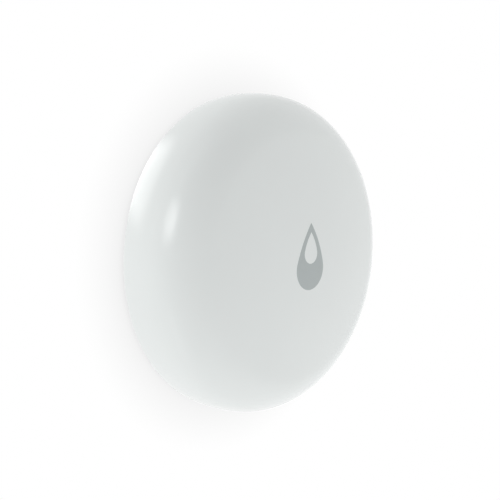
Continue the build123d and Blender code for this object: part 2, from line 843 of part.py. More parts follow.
# Push switch: body with a round pocket, snap dome, stem and the plate that keeps them in
pocket_floor_z = board_top_z + switch_floor
stem_flange_top_z = switch_top_z - stem_gap
stem_flange_low_z = stem_flange_top_z - stem_flange_height
snap_top_z = stem_flange_low_z - stem_gap
with BuildPart() as switch_body:
    with BuildSketch(Plane.XY.offset(board_top_z)):
        with Locations((0, guide_y)):
            Rectangle(switch_width, switch_width)
    extrude(amount=switch_body_height)
    with BuildSketch(Plane.XY.offset(pocket_floor_z)):
        with Locations((0, guide_y)):
            Circle(switch_pocket_r)
    extrude(amount=switch_body_height - switch_floor, mode=Mode.SUBTRACT)
save(switch_body.part, "switch_body")

with BuildPart() as switch_cover:
    with BuildSketch(Plane.XY.offset(switch_top_z)):
        with Locations((0, guide_y)):
            Rectangle(switch_width - 2 * switch_cover_margin, switch_width - 2 * switch_cover_margin)
            Circle(stem_r + stem_gap, mode=Mode.SUBTRACT)
    extrude(amount=switch_cover_thickness)
save(switch_cover.part, "switch_cover")

with BuildPart() as switch_dome:
    with BuildSketch(Plane.XZ):
        with BuildLine():
            rim_top = (snap_dome_r, pocket_floor_z + snap_dome_thickness)
            rim_low = (snap_dome_r, pocket_floor_z)
            skin_top = TangentArc((0, snap_top_z), rim_top, tangent=(1, 0))
            skin_low = TangentArc((0, snap_top_z - snap_dome_thickness), rim_low, tangent=(1, 0))
            Line(skin_top @ 0, skin_low @ 0)
            Line(skin_top @ 1, skin_low @ 1)
        make_face()
    revolve(axis=Axis.Z)
save(switch_dome.part.moved(Location((0, guide_y))), "switch_dome")

with BuildPart() as switch_stem:
    with BuildSketch(Plane.XY.offset(stem_flange_low_z)):
        with Locations((0, guide_y)):
            Circle(stem_flange_r)
    extrude(amount=stem_flange_height)
    with BuildSketch(Plane.XY.offset(stem_flange_top_z)):
        with Locations((0, guide_y)):
            Circle(stem_r)
    extrude(amount=stem_top_z - stem_flange_top_z)
save(switch_stem.part, "switch_stem")

# Clear guide: pin on the switch's stem, flange over the status light, and a stem up to the window's thin wall
with BuildPart() as light_guide:
    for radius, low, high in (
        (guide_pin_r, stem_top_z, guide_flange_low_z),
        (guide_flange_r, guide_flange_low_z, guide_flange_top_z),
        (guide_r, guide_flange_top_z, shell_height),
    ):
        with BuildSketch(Plane.XY.offset(low)):
            with Locations((0, guide_y)):
                Circle(radius)
        extrude(amount=high - low)
    with BuildSketch(Plane.XZ) as guide_trim:
        add(dome_inside(window_wall + guide_gap))
    revolve(guide_trim.sketch, axis=Axis.Z, mode=Mode.INTERSECT)
save(light_guide.part, "light_guide")

# Spring contacts of the cell: a tongue under the board on the lid, and one that bears on the can's side
strip_z = board_low_z - strip_thickness / 2
lid_contact_z = cell_top_z + contact_gap + strip_thickness / 2
with BuildPart() as negative_contact:
    with BuildSketch(Plane.XZ):
        add(
            strip(
                [
                    (contact_foot_place + contact_foot, strip_z),
                    (contact_foot_place, strip_z),
                    (contact_flat / 2, lid_contact_z),
                    (-contact_flat / 2, lid_contact_z),
                    (-contact_flat / 2 - contact_curl, lid_contact_z + contact_lift),
                ]
            )
        )
    extrude(amount=strip_width / 2, both=True)
save(negative_contact.part, "negative_contact")

can_contact_y = cell_r + contact_gap + strip_thickness / 2
side_contact_foot_place = cell_r + side_contact_reach
contact_tip_z = side_slot_low_z + strip_thickness
contact_low_z = contact_tip_z + contact_lift
contact_high_z = contact_low_z + side_contact_flat
with BuildPart() as positive_contact:
    with BuildSketch(Plane((0, 0, 0), x_dir=(0, -1, 0), z_dir=(-1, 0, 0))):
        add(
            strip(
                [
                    (side_contact_foot_place + contact_foot, strip_z),
                    (side_contact_foot_place, strip_z),
                    (can_contact_y + side_contact_shoulder, (strip_z + contact_high_z) / 2),
                    (can_contact_y, contact_high_z),
                    (can_contact_y, contact_low_z),
                    (can_contact_y + side_contact_curl, contact_tip_z),
                ]
            )
        )
    extrude(amount=strip_width / 2, both=True)
save(positive_contact.part, "positive_contact")
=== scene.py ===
"""Looks of a round battery water leak sensor, built around its packed construction model.

Metres, in the same frame as the construction. The disc lies on its foot ring, dome up, and +Y points
towards the drop's tip.
"""

import json
from math import acos, asin, atan2, cos, hypot, pi, radians, sin, sqrt

import bmesh
import bpy
from bpy.props import FloatProperty, FloatVectorProperty, IntProperty, PointerProperty
from mathutils import Matrix, Vector


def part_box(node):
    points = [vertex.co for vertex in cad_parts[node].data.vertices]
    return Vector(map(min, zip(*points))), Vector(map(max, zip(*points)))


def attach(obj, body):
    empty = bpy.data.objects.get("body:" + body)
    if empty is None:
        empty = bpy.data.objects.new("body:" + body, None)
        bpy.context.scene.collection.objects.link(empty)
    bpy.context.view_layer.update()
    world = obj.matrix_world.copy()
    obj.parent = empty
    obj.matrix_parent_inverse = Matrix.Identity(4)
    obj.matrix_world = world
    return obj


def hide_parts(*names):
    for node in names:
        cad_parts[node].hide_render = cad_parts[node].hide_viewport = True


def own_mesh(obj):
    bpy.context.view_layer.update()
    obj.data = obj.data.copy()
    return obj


bl_info = {
    "name": "Water Leak Sensor",
    "version": (1, 0, 0),
    "blender": (4, 5, 0),
    "location": "View3D > Sidebar > Leak Sensor",
    "description": "Builds a water leak sensor's domed shell, drop, finishes and studio",
    "category": "Add Mesh",
}

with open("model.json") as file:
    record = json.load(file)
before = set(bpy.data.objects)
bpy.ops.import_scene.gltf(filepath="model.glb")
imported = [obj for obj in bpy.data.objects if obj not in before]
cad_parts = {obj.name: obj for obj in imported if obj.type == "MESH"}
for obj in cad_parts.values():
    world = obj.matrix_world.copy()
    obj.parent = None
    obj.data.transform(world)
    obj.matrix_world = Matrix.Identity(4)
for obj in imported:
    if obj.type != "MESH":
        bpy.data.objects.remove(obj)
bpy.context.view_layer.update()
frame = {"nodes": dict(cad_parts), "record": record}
SHELL_LOW, SHELL_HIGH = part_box("top_shell")
MARK_LOW, MARK_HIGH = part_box("drop_mark")
MIDDLE = Vector((0, 0, SHELL_HIGH.z / 2))

# A millimetre in metres and a milliwatt in watts
MM = 0.001
MW = 0.001

# Points nearer than this become one, and edges sharper than this stay sharp
MERGE = 0.001 * MM
SHARP_ANGLE = radians(30)

# Faces along each arc of the shell's profile
CROWN_STEPS = 28
SHOULDER_STEPS = 28
SIDE_STEPS = 16
CORNER_STEPS = 10
INNER_SHOULDER_STEPS = 18
INNER_CROWN_STEPS = 20

# Faces along the drop's bowl and along each flank, and cuts across its width
OUTLINE_STEPS = 28
MARK_CUTS = 5

# Faces round the guide's sleeve and the snap disc, and along the disc's arc
SMALL_AROUND = 64
DISC_STEPS = 16

# Rings that a wave texture of scale 1 draws in one unit
WAVE_RINGS = 3

# Strength at which a plain glow shows as white
WHITE = 1.0

# Rays that look for what covers a point of the floor
SHADOW_SAMPLES = 8

# Where a small lamp has its full strength, counted from 0 at its edge to 1 at its middle
FULL_LIGHT = 0.6

# Camera's sensor width in mm and the nearest that it sees in m
SENSOR_WIDTH = 36
NEAREST = 0.005


def length(name, description, default):
    """A size in metres that a user may change."""
    return FloatProperty(name=name, description=description, default=default, unit="LENGTH", precision=5)


def angle(name, description, default):
    """An angle that a user may change, given in degrees here."""
    return FloatProperty(name=name, description=description, default=radians(default), unit="ROTATION")


def share(name, description, default):
    """A plain number from 0 to 1."""
    return FloatProperty(name=name, description=description, default=default, min=0, max=1, subtype="FACTOR")


def strength(name, description, default):
    """The strength of a light, where 1 shows as white."""
    return FloatProperty(name=name, description=description, default=default, min=0)


def tint(name, description, default):
    """A linear colour that a user may change."""
    return FloatVectorProperty(
        name=name, description=description, default=default, size=3, min=0, max=1, subtype="COLOR")


class LeakSensorDomeSizes(bpy.types.PropertyGroup):
    """Sizes of the domed shell"""

    radius: length("Radius", "Half the disc's width", SHELL_HIGH.x)
    height: length("Height", "Dome's top above the floor", SHELL_HIGH.z)
    rim_z: length("Rim height", "Lower edge of the shell above the floor", SHELL_LOW.z)
    widest_z: length("Widest height", "Height of the widest line", 3.6 * MM)
    side_arc: length("Side arc", "Radius of the side's arc", 15.6 * MM)
    shoulder_arc: length("Shoulder arc", "Radius of the shoulder's arc", 8.1 * MM)
    crown_arc: length("Crown arc", "Radius of the crown's arc", 82.0 * MM)
    rim_corner: length("Rim corner", "Radius of the lower edge", 0.7 * MM)
    wall: length("Wall", "Thickness of the dome's wall", 1.6 * MM)
    bore: length("Bore", "Radius of the bore for the base", 23.0 * MM)
    bore_lead: length("Bore lead", "Chamfer at the bore's mouth", 0.3 * MM)
    snap_z: length("Snap height", "Height of the snap groove's middle", 4.3 * MM)
    snap_depth: length("Snap depth", "Depth of the snap groove", 0.25 * MM)
    snap_half: length("Snap half height", "Half the snap groove's height", 0.33 * MM)
    rib_count: IntProperty(name="Ribs", description="Stop ribs inside the bore", default=12, min=3)
    rib_low_z: length("Rib foot", "Lower end of the ribs", 4.85 * MM)
    rib_height: length("Rib height", "Length of the ribs", 3.2 * MM)
    rib_reach: length("Rib reach", "How far the ribs stand into the bore", 1.8 * MM)
    rib_thickness: length("Rib thickness", "Thickness of the ribs", 1.0 * MM)
    rib_edge: length("Rib edge", "Rounding of the ribs' edges", 0.1 * MM)
    sleeve_low_z: length("Sleeve foot", "Lower end of the sleeve round the light guide", 11.35 * MM)
    sleeve_bore: length("Sleeve bore", "Radius of the sleeve's bore", 2.75 * MM)
    sleeve_wall: length("Sleeve wall", "Thickness of the sleeve", 0.9 * MM)
    around: IntProperty(name="Steps round", description="Faces round the disc", default=192, min=24)


class LeakSensorMarkSizes(bpy.types.PropertyGroup):
    """Sizes of the drop on the dome"""

    bowl_radius: length("Bowl", "Radius of the drop's bowl", MARK_HIGH.x)
    bowl_y: length("Bowl place", "Middle of the bowl along Y", MARK_LOW.y + MARK_HIGH.x)
    tip_y: length("Tip place", "Tip of the drop along Y", MARK_HIGH.y)
    window_radius: length("Window bowl", "Radius of the window's bowl", 1.54 * MM)
    window_y: length("Window place", "Middle of the window's bowl along Y", 0.79 * MM)
    window_tip_y: length("Window tip", "Tip of the window along Y", 4.02 * MM)
    lift: angle("Lift", "Where the flanks leave the bowl", 16)
    depth: length("Depth", "Thickness of the inlay", 0.2 * MM)
    proud: length("Proud", "How far the inlay stands above the dome", 0.01 * MM)


class LeakSensorColours(bpy.types.PropertyGroup):
    """Colours that show"""

    dome: tint("Dome", "Glossy white moulding", (0.8, 0.83, 0.822))
    mark: tint("Drop", "Grey inlay", (0.442, 0.482, 0.482))
    satin: tint("Underside", "Satin white moulding", (0.76, 0.79, 0.78))
    board: tint("Board", "Solder mask", (0.02, 0.16, 0.07))


class LeakSensorStage(bpy.types.PropertyGroup):
    """Studio and camera"""

    fill: strength("Fill", "Light of the even surroundings", 0.35)
    floor_glow: strength("Floor glow", "Light that the pale floor sends up", 0.79)
    shadow: share("Shadow", "Depth of the soft shadow round the disc's foot", 0.22)
    shadow_reach: length("Shadow reach", "How far the disc's shadow spreads over the floor", 8 * MM)
    floor_radius: length("Floor", "Radius of the floor", 1.5)
    lamp_distance: length("Lamp distance", "From the disc's middle to each lamp", 0.45)
    turn: angle("Camera turn", "Camera's turn round the disc's upright", 48.561)
    lift: angle("Camera lift", "Camera's lift towards the drop's tip", 4.743)
    roll: angle("Camera roll", "Camera's roll about its own line of sight", 1.847)
    distance: length("Camera distance", "From the camera to the disc's middle", 0.145)
    aside: length("Aim aside", "Aim's offset across the picture", -3.566 * MM)
    above: length("Aim above", "Aim's offset up the picture", 0.743 * MM)
    lens: FloatProperty(
        name="Lens", description=f"Focal length on a {SENSOR_WIDTH} mm sensor", default=66.99, unit="CAMERA")


class LeakSensorSettings(bpy.types.PropertyGroup):
    """All settings of the sensor"""

    dome: PointerProperty(type=LeakSensorDomeSizes)
    mark: PointerProperty(type=LeakSensorMarkSizes)
    colours: PointerProperty(type=LeakSensorColours)
    stage: PointerProperty(type=LeakSensorStage)
    snap_thickness: length("Snap disc", "Thickness of the switch's snap disc", 0.1 * MM)


class Wire:
    """An output socket that can stand in a sum"""

    def __init__(self, sheet, socket):
        self.sheet = sheet
        self.socket = socket

    def maths(self, operation, first, second):
        return self.sheet.node("ShaderNodeMath", {"operation": operation}, {0: first, 1: second})

    def __add__(self, other):
        return self.maths("ADD", self, other)

    __radd__ = __add__

    def __rsub__(self, other):
        return self.maths("SUBTRACT", other, self)

    def __mul__(self, other):
        return self.maths("MULTIPLY", self, other)

    __rmul__ = __mul__


class Sheet:
    """A node tree under construction"""

    def __init__(self, tree):
        self.tree = tree
        tree.nodes.clear()

    def node(self, kind, settings=None, inputs=None, output=0):
        """Add one node, its settings first and then its inputs, and return one output as a wire."""
        made = self.tree.nodes.new(kind)
        for name, value in (settings or {}).items():
            setattr(made, name, value)
        for name, value in (inputs or {}).items():
            if isinstance(value, Wire):
                self.tree.links.new(value.socket, made.inputs[name])
            elif made.inputs[name].type == "RGBA":
                made.inputs[name].default_value = (*value, 1)
            else:
                made.inputs[name].default_value = value
        return Wire(self, made.outputs[output])

    def mapped(self, coordinates, centre, scale):
        """Coordinates counted from a centre and stretched."""
        return self.node("ShaderNodeMapping", {"vector_type": "TEXTURE"}, {
            "Vector": coordinates, "Location": centre, "Scale": scale})

    def place(self, centre=(0, 0, 0), scale=(1, 1, 1)):
        """The object's own coordinates, centred and stretched."""
        return self.mapped(self.node("ShaderNodeTexCoord", output="Object"), centre, scale)

    def noise(self, size, detail=2.0, where=None, roughness=0.5):
        """Cloudy pattern whose blotches are about this size."""
        return self.node("ShaderNodeTexNoise", {}, {
            "Vector": where or self.place(), "Scale": 1 / size, "Detail": detail, "Roughness": roughness})

    def blend(self, factor, first, second):
        """Mix two colours."""
        return self.node("ShaderNodeMix", {"data_type": "RGBA"}, {0: factor, 6: first, 7: second}, output=2)

    def mix(self, factor, first, second):
        """Mix two shaders."""
        return self.node("ShaderNodeMixShader", {}, {0: factor, 1: first, 2: second})

    def bump(self, height, depth):
        """Surface relief of a real depth."""
        return self.node("ShaderNodeBump", {}, {"Height": height, "Distance": depth})

    def emission(self, strength):
        """A plain white glow."""
        return self.node("ShaderNodeEmission", {}, {"Color": (1, 1, 1), "Strength": strength})

    def surface(self, **inputs):
        """Principled surface, sent to the output. An underscore in a socket's name stands for a space."""
        sockets = {name.replace("_", " "): value for name, value in inputs.items()}
        self.finish(self.node("ShaderNodeBsdfPrincipled", {}, sockets))

    def finish(self, shader, kind="ShaderNodeOutputMaterial"):
        """Send a shader to an output of this kind."""
        made = self.tree.nodes.new(kind)
        self.tree.links.new(shader.socket, made.inputs["Surface"])


def colours():
    """The colours that a user may change."""
    return bpy.context.scene.leak_sensor.colours


def dimmed(colour, keep):
    """A colour at a share of its strength."""
    return tuple(keep * channel for channel in colour)


def material(slot):
    """The procedural material of one slot, made when it is first asked for."""
    name = f"{slot}_finish"
    found = bpy.data.materials.get(name)
    if found:
        return found
    made = bpy.data.materials.new(name)
    made.use_nodes = True
    FINISHES[slot](Sheet(made.node_tree))
    return made


def gloss_white(sheet):
    """Polished moulding: nearly even, with a faint flow in its colour and gloss and the slightest ripple."""
    flow = sheet.noise(6 * MM, detail=3)
    ripple = sheet.noise(1.4 * MM, detail=1)
    white = tuple(colours().dome)
    sheet.surface(
        Base_Color=sheet.blend(flow, white, dimmed(white, 0.985)),
        Roughness=0.15 + 0.05 * sheet.noise(2.5 * MM, detail=2),
        Normal=sheet.bump(ripple, 0.0012 * MM),
        IOR=1.46,
    )


def mark_grey(sheet):
    """Flush grey inlay, as glossy as the shell round it."""
    grey = tuple(colours().mark)
    sheet.surface(
        Base_Color=sheet.blend(sheet.noise(0.8 * MM, detail=2), grey, dimmed(grey, 0.96)),
        Roughness=0.2 + 0.06 * sheet.noise(0.5 * MM),
        Normal=sheet.bump(sheet.noise(0.9 * MM, detail=1), 0.0012 * MM),
        IOR=1.46,
    )


def satin_white(sheet):
    """Spark-eroded moulding: a fine even grain, duller on its peaks."""
    grain = sheet.noise(0.16 * MM, detail=3, roughness=0.6)
    white = tuple(colours().satin)
    sheet.surface(
        Base_Color=sheet.blend(sheet.noise(5 * MM, detail=3), white, dimmed(white, 0.97)),
        Roughness=0.38 + 0.18 * grain,
        Normal=sheet.bump(grain, 0.012 * MM),
        IOR=1.5,
    )


def seal_rubber(sheet):
    """Moulded rubber with a bloom of dust."""
    bloom = sheet.noise(0.7 * MM, detail=4)
    sheet.surface(
        Base_Color=sheet.blend(bloom, (0.035, 0.035, 0.036), (0.075, 0.075, 0.078)),
        Roughness=0.55 + 0.2 * bloom,
        Normal=sheet.bump(sheet.noise(0.12 * MM), 0.006 * MM),
    )


def foam_grey(sheet):
    """Closed-cell foam: small bubbles over the whole surface."""
    cells = sheet.node("ShaderNodeTexVoronoi", {}, {"Vector": sheet.place(), "Scale": 1 / (0.28 * MM)})
    sheet.surface(
        Base_Color=sheet.blend(cells, (0.10, 0.10, 0.11), (0.24, 0.24, 0.25)),
        Roughness=0.9,
        Normal=sheet.bump(cells, 0.05 * MM),
    )


def turned(sheet, centre, pitch):
    """Fine rings round an upright axis, as a lathe leaves them."""
    kind = {"wave_type": "RINGS", "rings_direction": "Z", "wave_profile": "SIN"}
    return sheet.node("ShaderNodeTexWave", kind, {
        "Vector": sheet.place(centre), "Scale": 1 / (WAVE_RINGS * pitch), "Distortion": 0.6, "Detail": 2.0})


def nickel_steel(sheet):
    """Nickel-plated steel, brushed along X, with faint handling marks."""
    brushed = sheet.noise(0.05 * MM, detail=2, where=sheet.place(scale=(14, 1, 1)))
    marks = sheet.noise(1.6 * MM, detail=5)
    sheet.surface(
        Base_Color=sheet.blend(marks, (0.66, 0.65, 0.62), (0.57, 0.56, 0.53)),
        Metallic=1.0,
        Roughness=0.2 + 0.16 * brushed + 0.08 * marks,
        Normal=sheet.bump(brushed, 0.002 * MM),
    )


def probe_steel(side):
    """A finish of turned stainless steel, centred on one of the two probes."""
    low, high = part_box(f"probe_screw_{side}")
    middle = (low + high) / 2

    def finish(sheet):
        rings = turned(sheet, (middle.x, middle.y, 0), 0.09 * MM)
        stain = sheet.noise(0.9 * MM, detail=5)
        sheet.surface(
            Base_Color=sheet.blend(stain, (0.47, 0.47, 0.465), (0.39, 0.385, 0.375)),
            Metallic=1.0,
            Roughness=0.2 + 0.1 * rings + 0.1 * stain,
            Normal=sheet.bump(rings, 0.003 * MM),
        )

    return finish


def gasket_plastic(sheet):
    """Dark plastic ring of the cell, a little waxy."""
    wax = sheet.noise(0.6 * MM, detail=3)
    sheet.surface(
        Base_Color=sheet.blend(wax, (0.07, 0.07, 0.075), (0.12, 0.12, 0.13)),
        Roughness=0.35 + 0.15 * wax,
        Normal=sheet.bump(wax, 0.004 * MM),
    )


def cell_pellet(sheet):
    """Pressed powder, with coarse dark grains."""
    grains = sheet.noise(0.2 * MM, detail=6, roughness=0.7)
    sheet.surface(
        Base_Color=sheet.blend(grains, (0.03, 0.03, 0.03), (0.13, 0.13, 0.125)),
        Roughness=0.95,
        Normal=sheet.bump(grains, 0.03 * MM),
    )


def brass(sheet):
    """Turned brass with a light tarnish."""
    tarnish = sheet.noise(0.7 * MM, detail=5)
    sheet.surface(
        Base_Color=sheet.blend(tarnish, (0.78, 0.58, 0.27), (0.58, 0.40, 0.17)),
        Metallic=1.0,
        Roughness=0.22 + 0.2 * tarnish,
        Normal=sheet.bump(sheet.noise(0.08 * MM, where=sheet.place(scale=(8, 8, 1))), 0.003 * MM),
    )


def board_green(sheet):
    """Solder mask over copper: tracks show through as a lighter weave of straight runs."""
    tracks = sheet.node("ShaderNodeTexBrick", {"offset": 0.35, "squash": 1.6}, {
        "Vector": sheet.place(), "Scale": 1 / (4.2 * MM), "Mortar Size": 0.035, "Mortar Smooth": 0.2,
        "Color1": (0, 0, 0), "Color2": (0, 0, 0), "Mortar": (1, 1, 1)})
    mask = tuple(colours().board)
    copper = tuple(min(1, 1.7 * channel + 0.02) for channel in mask)
    sheet.surface(
        Base_Color=sheet.blend(tracks, mask, copper),
        Roughness=0.28 + 0.08 * sheet.noise(0.5 * MM, detail=3),
        Normal=sheet.bump(tracks, 0.03 * MM),
    )


def chip_black(sheet):
    """Moulded epoxy with a fine matt grain."""
    grain = sheet.noise(0.07 * MM, detail=3)
    sheet.surface(
        Base_Color=sheet.blend(grain, (0.014, 0.014, 0.015), (0.035, 0.035, 0.036)),
        Roughness=0.5 + 0.2 * grain,
        Normal=sheet.bump(grain, 0.008 * MM),
    )


def ceramic(sheet):
    """Fired ceramic, finely speckled."""
    speckle = sheet.noise(0.1 * MM, detail=5, roughness=0.7)
    sheet.surface(
        Base_Color=sheet.blend(speckle, (0.52, 0.44, 0.32), (0.68, 0.60, 0.47)),
        Roughness=0.4 + 0.2 * speckle,
        Normal=sheet.bump(speckle, 0.005 * MM),
    )


def led_lens(sheet):
    """Clear epoxy over a small yellow phosphor."""
    drops = sheet.noise(0.25 * MM, detail=2)
    sheet.surface(
        Base_Color=sheet.blend(drops, (0.85, 0.82, 0.55), (0.78, 0.82, 0.84)),
        Roughness=0.12 + 0.08 * drops,
        Coat_Weight=0.5,
    )


def clear_guide(sheet):
    """Polished clear plastic, faintly clouded by its moulding flow."""
    flow = sheet.noise(1.5 * MM, detail=3)
    sheet.surface(
        Base_Color=sheet.blend(flow, (0.93, 0.95, 0.96), (0.87, 0.90, 0.92)),
        Roughness=0.05 + 0.06 * flow,
        Transmission_Weight=0.9,
        IOR=1.49,
    )


FINISHES = {
    "gloss_white": gloss_white,
    "mark_grey": mark_grey,
    "satin_white": satin_white,
    "seal_rubber": seal_rubber,
    "foam_grey": foam_grey,
    "nickel_steel": nickel_steel,
    "probe_steel_left": probe_steel("left"),
    "probe_steel_right": probe_steel("right"),
    "gasket_plastic": gasket_plastic,
    "cell_pellet": cell_pellet,
    "brass": brass,
    "board_green": board_green,
    "chip_black": chip_black,
    "ceramic": ceramic,
    "led_lens": led_lens,
    "clear_guide": clear_guide,
}


def dress(slot, *names):
    """Give carried-over pieces their finish."""
    for name in names:
        materials = frame["nodes"][name].data.materials
        materials.clear()
        materials.append(material(slot))


def arc(mesh, start, centre, sweep, steps):
    """Carry a point round a centre in the XZ plane, leaving a chain of edges, and return its last point."""
    middle = (centre[0], 0, centre[1])
    made = bmesh.ops.spin(mesh, geom=[start], cent=middle, axis=(0, 1, 0), angle=sweep, steps=steps)
    return next(part for part in made["geom_last"] if isinstance(part, bmesh.types.BMVert))


def line(mesh, start, *places):
    """Run straight edges on from a point through places in the XZ plane, and return the last point."""
    for x, z in places:
        end = mesh.verts.new((x, 0, z))
        mesh.edges.new((start, end))
        start = end
    return start


def turn_full(mesh, steps):
    """Spin the profile drawn so far about the upright into a closed body of revolution."""
    profile = mesh.verts[:] + mesh.edges[:]
    bmesh.ops.spin(
        mesh, geom=profile, cent=(0, 0, 0), axis=(0, 0, 1), angle=2 * pi, steps=steps, use_merge=True)
    bmesh.ops.remove_doubles(mesh, verts=mesh.verts, dist=MERGE)


def piece(name, mesh, slot, body, node):
    """Make an object of a finished mesh, smooth but for sharp edges, and let it ride in place of its node."""
    bmesh.ops.recalc_face_normals(mesh, faces=mesh.faces)
    data = bpy.data.meshes.new(name)
    mesh.to_mesh(data)
    mesh.free()
    data.shade_smooth()
    data.set_sharp_from_angle(angle=SHARP_ANGLE)
    made = bpy.data.objects.new(name, data)
    bpy.context.collection.objects.link(made)
    data.materials.append(material(slot))
    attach(made, body)
    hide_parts(node)
    return made


def dome_arcs(dome):
    """Centres of the side's, shoulder's and crown's arcs, and the angles at which the shoulder's arc ends."""
    side_x = dome.radius - dome.side_arc
    crown_z = dome.height - dome.crown_arc
    side_to_shoulder = dome.side_arc - dome.shoulder_arc
    crown_to_shoulder = dome.crown_arc - dome.shoulder_arc
    gap = hypot(side_x, dome.widest_z - crown_z)
    along = (gap**2 + side_to_shoulder**2 - crown_to_shoulder**2) / (2 * gap)
    across = sqrt(side_to_shoulder**2 - along**2)
    down = atan2(crown_z - dome.widest_z, -side_x)
    shoulder_x = side_x + along * cos(down) - across * sin(down)
    shoulder_z = dome.widest_z + along * sin(down) + across * cos(down)
    low_angle = atan2(shoulder_z - dome.widest_z, shoulder_x - side_x)
    high_angle = atan2(shoulder_z - crown_z, shoulder_x)
    return (side_x, dome.widest_z), (shoulder_x, shoulder_z), (0, crown_z), low_angle, high_angle


class MESH_OT_leak_sensor_dome(bpy.types.Operator):
    """Model the domed shell with its bore, snap groove, stop ribs and guide sleeve"""

    bl_idname = "mesh.leak_sensor_dome"
    bl_label = "Domed Shell"
    bl_options = {"REGISTER", "UNDO"}

    def execute(self, context):
        dome = context.scene.leak_sensor.dome
        side, shoulder, crown, low_angle, high_angle = dome_arcs(dome)
        corner_z = dome.rim_z + dome.rim_corner
        corner_x = side[0] + sqrt((dome.side_arc - dome.rim_corner) ** 2 - (dome.widest_z - corner_z) ** 2)
        corner_angle = atan2(corner_z - dome.widest_z, corner_x - side[0])
        inner_angle = acos((dome.bore - shoulder[0]) / (dome.shoulder_arc - dome.wall))
        inner_z = shoulder[1] + (dome.shoulder_arc - dome.wall) * sin(inner_angle)
        snap_flat = dome.snap_half / 4
        mesh = bmesh.new()
        point = mesh.verts.new((0, 0, dome.height))
        point = arc(mesh, point, crown, pi / 2 - high_angle, CROWN_STEPS)
        point = arc(mesh, point, shoulder, high_angle - low_angle, SHOULDER_STEPS)
        point = arc(mesh, point, side, low_angle - corner_angle, SIDE_STEPS)
        point = arc(mesh, point, (corner_x, corner_z), corner_angle + pi / 2, CORNER_STEPS)
        point = line(
            mesh,
            point,
            (dome.bore + dome.bore_lead, dome.rim_z),
            (dome.bore, dome.rim_z + dome.bore_lead),
            (dome.bore, dome.snap_z - dome.snap_half),
            (dome.bore + dome.snap_depth, dome.snap_z - snap_flat),
            (dome.bore + dome.snap_depth, dome.snap_z + snap_flat),
            (dome.bore, dome.snap_z + dome.snap_half),
            (dome.bore, inner_z),
        )
        point = arc(mesh, point, shoulder, inner_angle - high_angle, INNER_SHOULDER_STEPS)
        arc(mesh, point, crown, high_angle - pi / 2, INNER_CROWN_STEPS)
        turn_full(mesh, dome.around)
        self.add_ribs(mesh, dome)
        self.add_sleeve(mesh, dome, crown)
        piece("domed_shell", mesh, "gloss_white", "housing", "top_shell")
        return {"FINISHED"}

    def add_ribs(self, mesh, dome):
        """Stop ribs, rooted in the wall."""
        root = dome.wall / 2
        middle = (dome.bore + (root - dome.rib_reach) / 2, 0, dome.rib_low_z + dome.rib_height / 2)
        size = Matrix.Diagonal((dome.rib_reach + root, dome.rib_thickness, dome.rib_height, 1))
        for step in range(dome.rib_count):
            turn = Matrix.Rotation((2 * step + 1) * pi / dome.rib_count, 4, "Z")
            made = bmesh.ops.create_cube(mesh, size=1, matrix=turn @ Matrix.Translation(middle) @ size)
            edges = list({edge for vert in made["verts"] for edge in vert.link_edges})
            bmesh.ops.bevel(
                mesh, geom=edges, offset=dome.rib_edge, segments=2, profile=0.5, affect="EDGES", material=-1)

    def add_sleeve(self, mesh, dome, crown):
        """Sleeve that hangs from the dome round the light guide."""
        low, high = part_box("light_guide")
        middle = (low + high) / 2
        bore, outer = dome.sleeve_bore, dome.sleeve_bore + dome.sleeve_wall
        low_z = dome.sleeve_low_z
        top_z = crown[1] + sqrt(dome.crown_arc**2 - (middle.y + outer) ** 2) - dome.wall / 2
        sleeve = bmesh.new()
        first = sleeve.verts.new((bore, 0, top_z))
        last = line(sleeve, first, (bore, low_z), (outer, low_z), (outer, top_z))
        sleeve.edges.new((last, first))
        turn_full(sleeve, SMALL_AROUND)
        bmesh.ops.translate(sleeve, verts=sleeve.verts, vec=(0, middle.y, 0))
        spare = bpy.data.meshes.new("sleeve")
        sleeve.to_mesh(spare)
        sleeve.free()
        mesh.from_mesh(spare)
        bpy.data.meshes.remove(spare)


